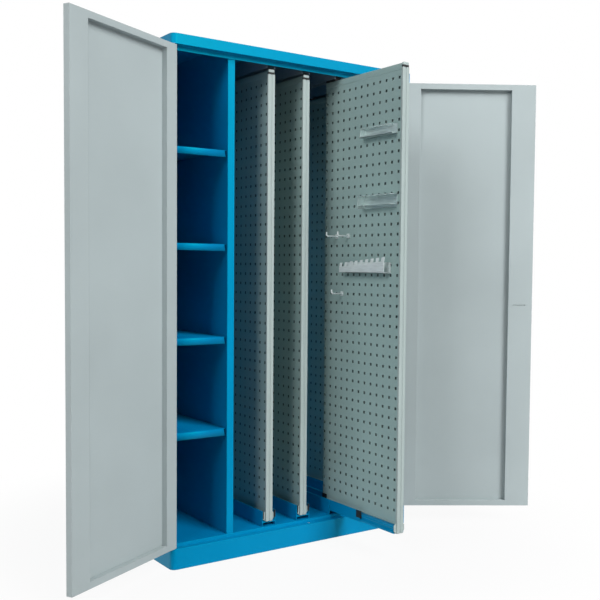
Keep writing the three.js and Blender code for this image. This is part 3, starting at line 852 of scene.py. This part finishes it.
low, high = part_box("bit_tray")
reach = high.x - low.x
radii = [
    bit_largest + (bit_smallest - bit_largest) * i / (bit_count - 1) for i in range(bit_count)
]
lip = softened([(0, 0), (high.y - low.y, 0), (high.y - low.y, bit_lip), (0, bit_lip)], holder_sheet)
make(
    "bit_holder",
    *merged(
        back_plate(low, high, high.z),
        strip(low, high, high.z - holder_sheet / 2, bit_strip_start, bit_strip_reach, radii),
        cut_plate(
            [(-reach, 0), (0, 0), (0, high.y - low.y), (-reach, high.y - low.y)], holder_sheet,
            Vector((high.x, low.y, low.z + holder_sheet / 2)), rightward, backward,
        ),
        cut_plate(lip, holder_sheet, Vector((low.x + holder_sheet / 2, low.y, low.z)), backward, upward),
        end_plate(low, high, high.y - holder_sheet / 2, reach, bit_strip_reach),
    ),
    zinc, "pull_out_3", "zinc_steel", ["bit_tray"],
)

low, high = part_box("driver_rack")
reach = high.x - low.x
make(
    "driver_holder",
    *merged(
        back_plate(low, high, high.z),
        strip(low, high, high.z - holder_sheet / 2, 0, reach, [driver_hole] * driver_count),
        strip(low, high, low.z + driver_strip_rise, 0, reach, [driver_low_hole] * driver_count),
        end_plate(low, high, high.y - holder_sheet / 2, reach, reach),
    ),
    zinc, "pull_out_3", "zinc_steel", ["driver_rack"],
)

low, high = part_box("spanner_rack")
reach, length = high.x - low.x, high.y - low.y
fold_start = Vector((low.x + holder_sheet / 2, low.y, low.z + comb_high_end))
fold_end = Vector((low.x + holder_sheet / 2, high.y, low.z + comb_low_end))
along_fold = (fold_end - fold_start).normalized()
fold_length = (fold_end - fold_start).length
leaning = Vector((math.sin(comb_lean), 0, math.cos(comb_lean)))
leaning = (leaning - along_fold * leaning.dot(along_fold)).normalized()
tooth_pitch = fold_length / (comb_teeth - 1 + comb_tooth_share)
tooth = tooth_pitch * comb_tooth_share
teeth = [(0, 0), (fold_length, 0)]
for number in reversed(range(comb_teeth)):
    start = number * tooth_pitch
    teeth += [(start + tooth, comb_flange), (start, comb_flange)]
    if number > 0:
        notch = comb_flange - comb_notch_depth
        teeth += [(start, notch), (start - tooth_pitch + tooth, notch)]
face = [(0, 0), (length, 0), (length, comb_low_end), (0, comb_high_end)]
make(
    "spanner_comb",
    *merged(
        back_plate(low, high, low.z + comb_high_end),
        cut_plate(
            [(-reach, 0), (0, 0), (0, length), (-reach, length)], holder_sheet,
            Vector((high.x, low.y, low.z + holder_sheet / 2)), rightward, backward,
        ),
        cut_plate(face, holder_sheet, Vector((low.x + holder_sheet / 2, low.y, low.z)), backward, upward),
        cut_plate(teeth, holder_sheet, fold_start, along_fold, leaning),
    ),
    bright_zinc, "pull_out_3", "zinc_steel", ["spanner_rack"],
)


def bent_wire(path, side):
    points, faces = [], []
    for i, place in enumerate(path):
        heading = (path[min(i + 1, len(path) - 1)] - path[max(i - 1, 0)]).normalized()
        other = heading.cross(side)
        for k in range(wire_sides):
            angle = 2 * math.pi * k / wire_sides
            points.append(place + (side * math.cos(angle) + other * math.sin(angle)) * wire_radius)
    for i in range(len(path) - 1):
        a = i * wire_sides
        for k in range(wire_sides):
            j = (k + 1) % wire_sides
            faces.append((a + k, a + j, a + wire_sides + j, a + wire_sides + k))
    faces.append(tuple(reversed(range(wire_sides))))
    faces.append(tuple(range(len(points) - wire_sides, len(points))))
    return points, faces


for number in range(1, hook_count + 1):
    low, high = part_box(f"tool_hook_{number}")
    middle_y = (low.y + high.y) / 2
    half = (high.y - low.y) / 2
    hook_z = low.z + half
    tip_x = low.x + wire_radius
    foot = Vector((high.x - holder_sheet, middle_y, hook_z))
    path = [foot, Vector((tip_x + wire_bend, middle_y, hook_z))]
    for step in range(1, wire_bend_steps + 1):
        angle = math.pi / 2 * step / wire_bend_steps
        x = tip_x + wire_bend * (1 - math.sin(angle))
        path.append(Vector((x, middle_y, hook_z + wire_bend * (1 - math.cos(angle)))))
    path.append(Vector((tip_x, middle_y, high.z)))
    plate = cut_plate(
        softened([(-half, -half), (half, -half), (half, half), (-half, half)], half / 2),
        2 * holder_sheet, foot, backward, upward,
    )
    make(
        f"wire_hook_{number}", *merged(plate, bent_wire(path, backward)), bright_zinc,
        "pull_out_3", "zinc_steel", [f"tool_hook_{number}"],
    )
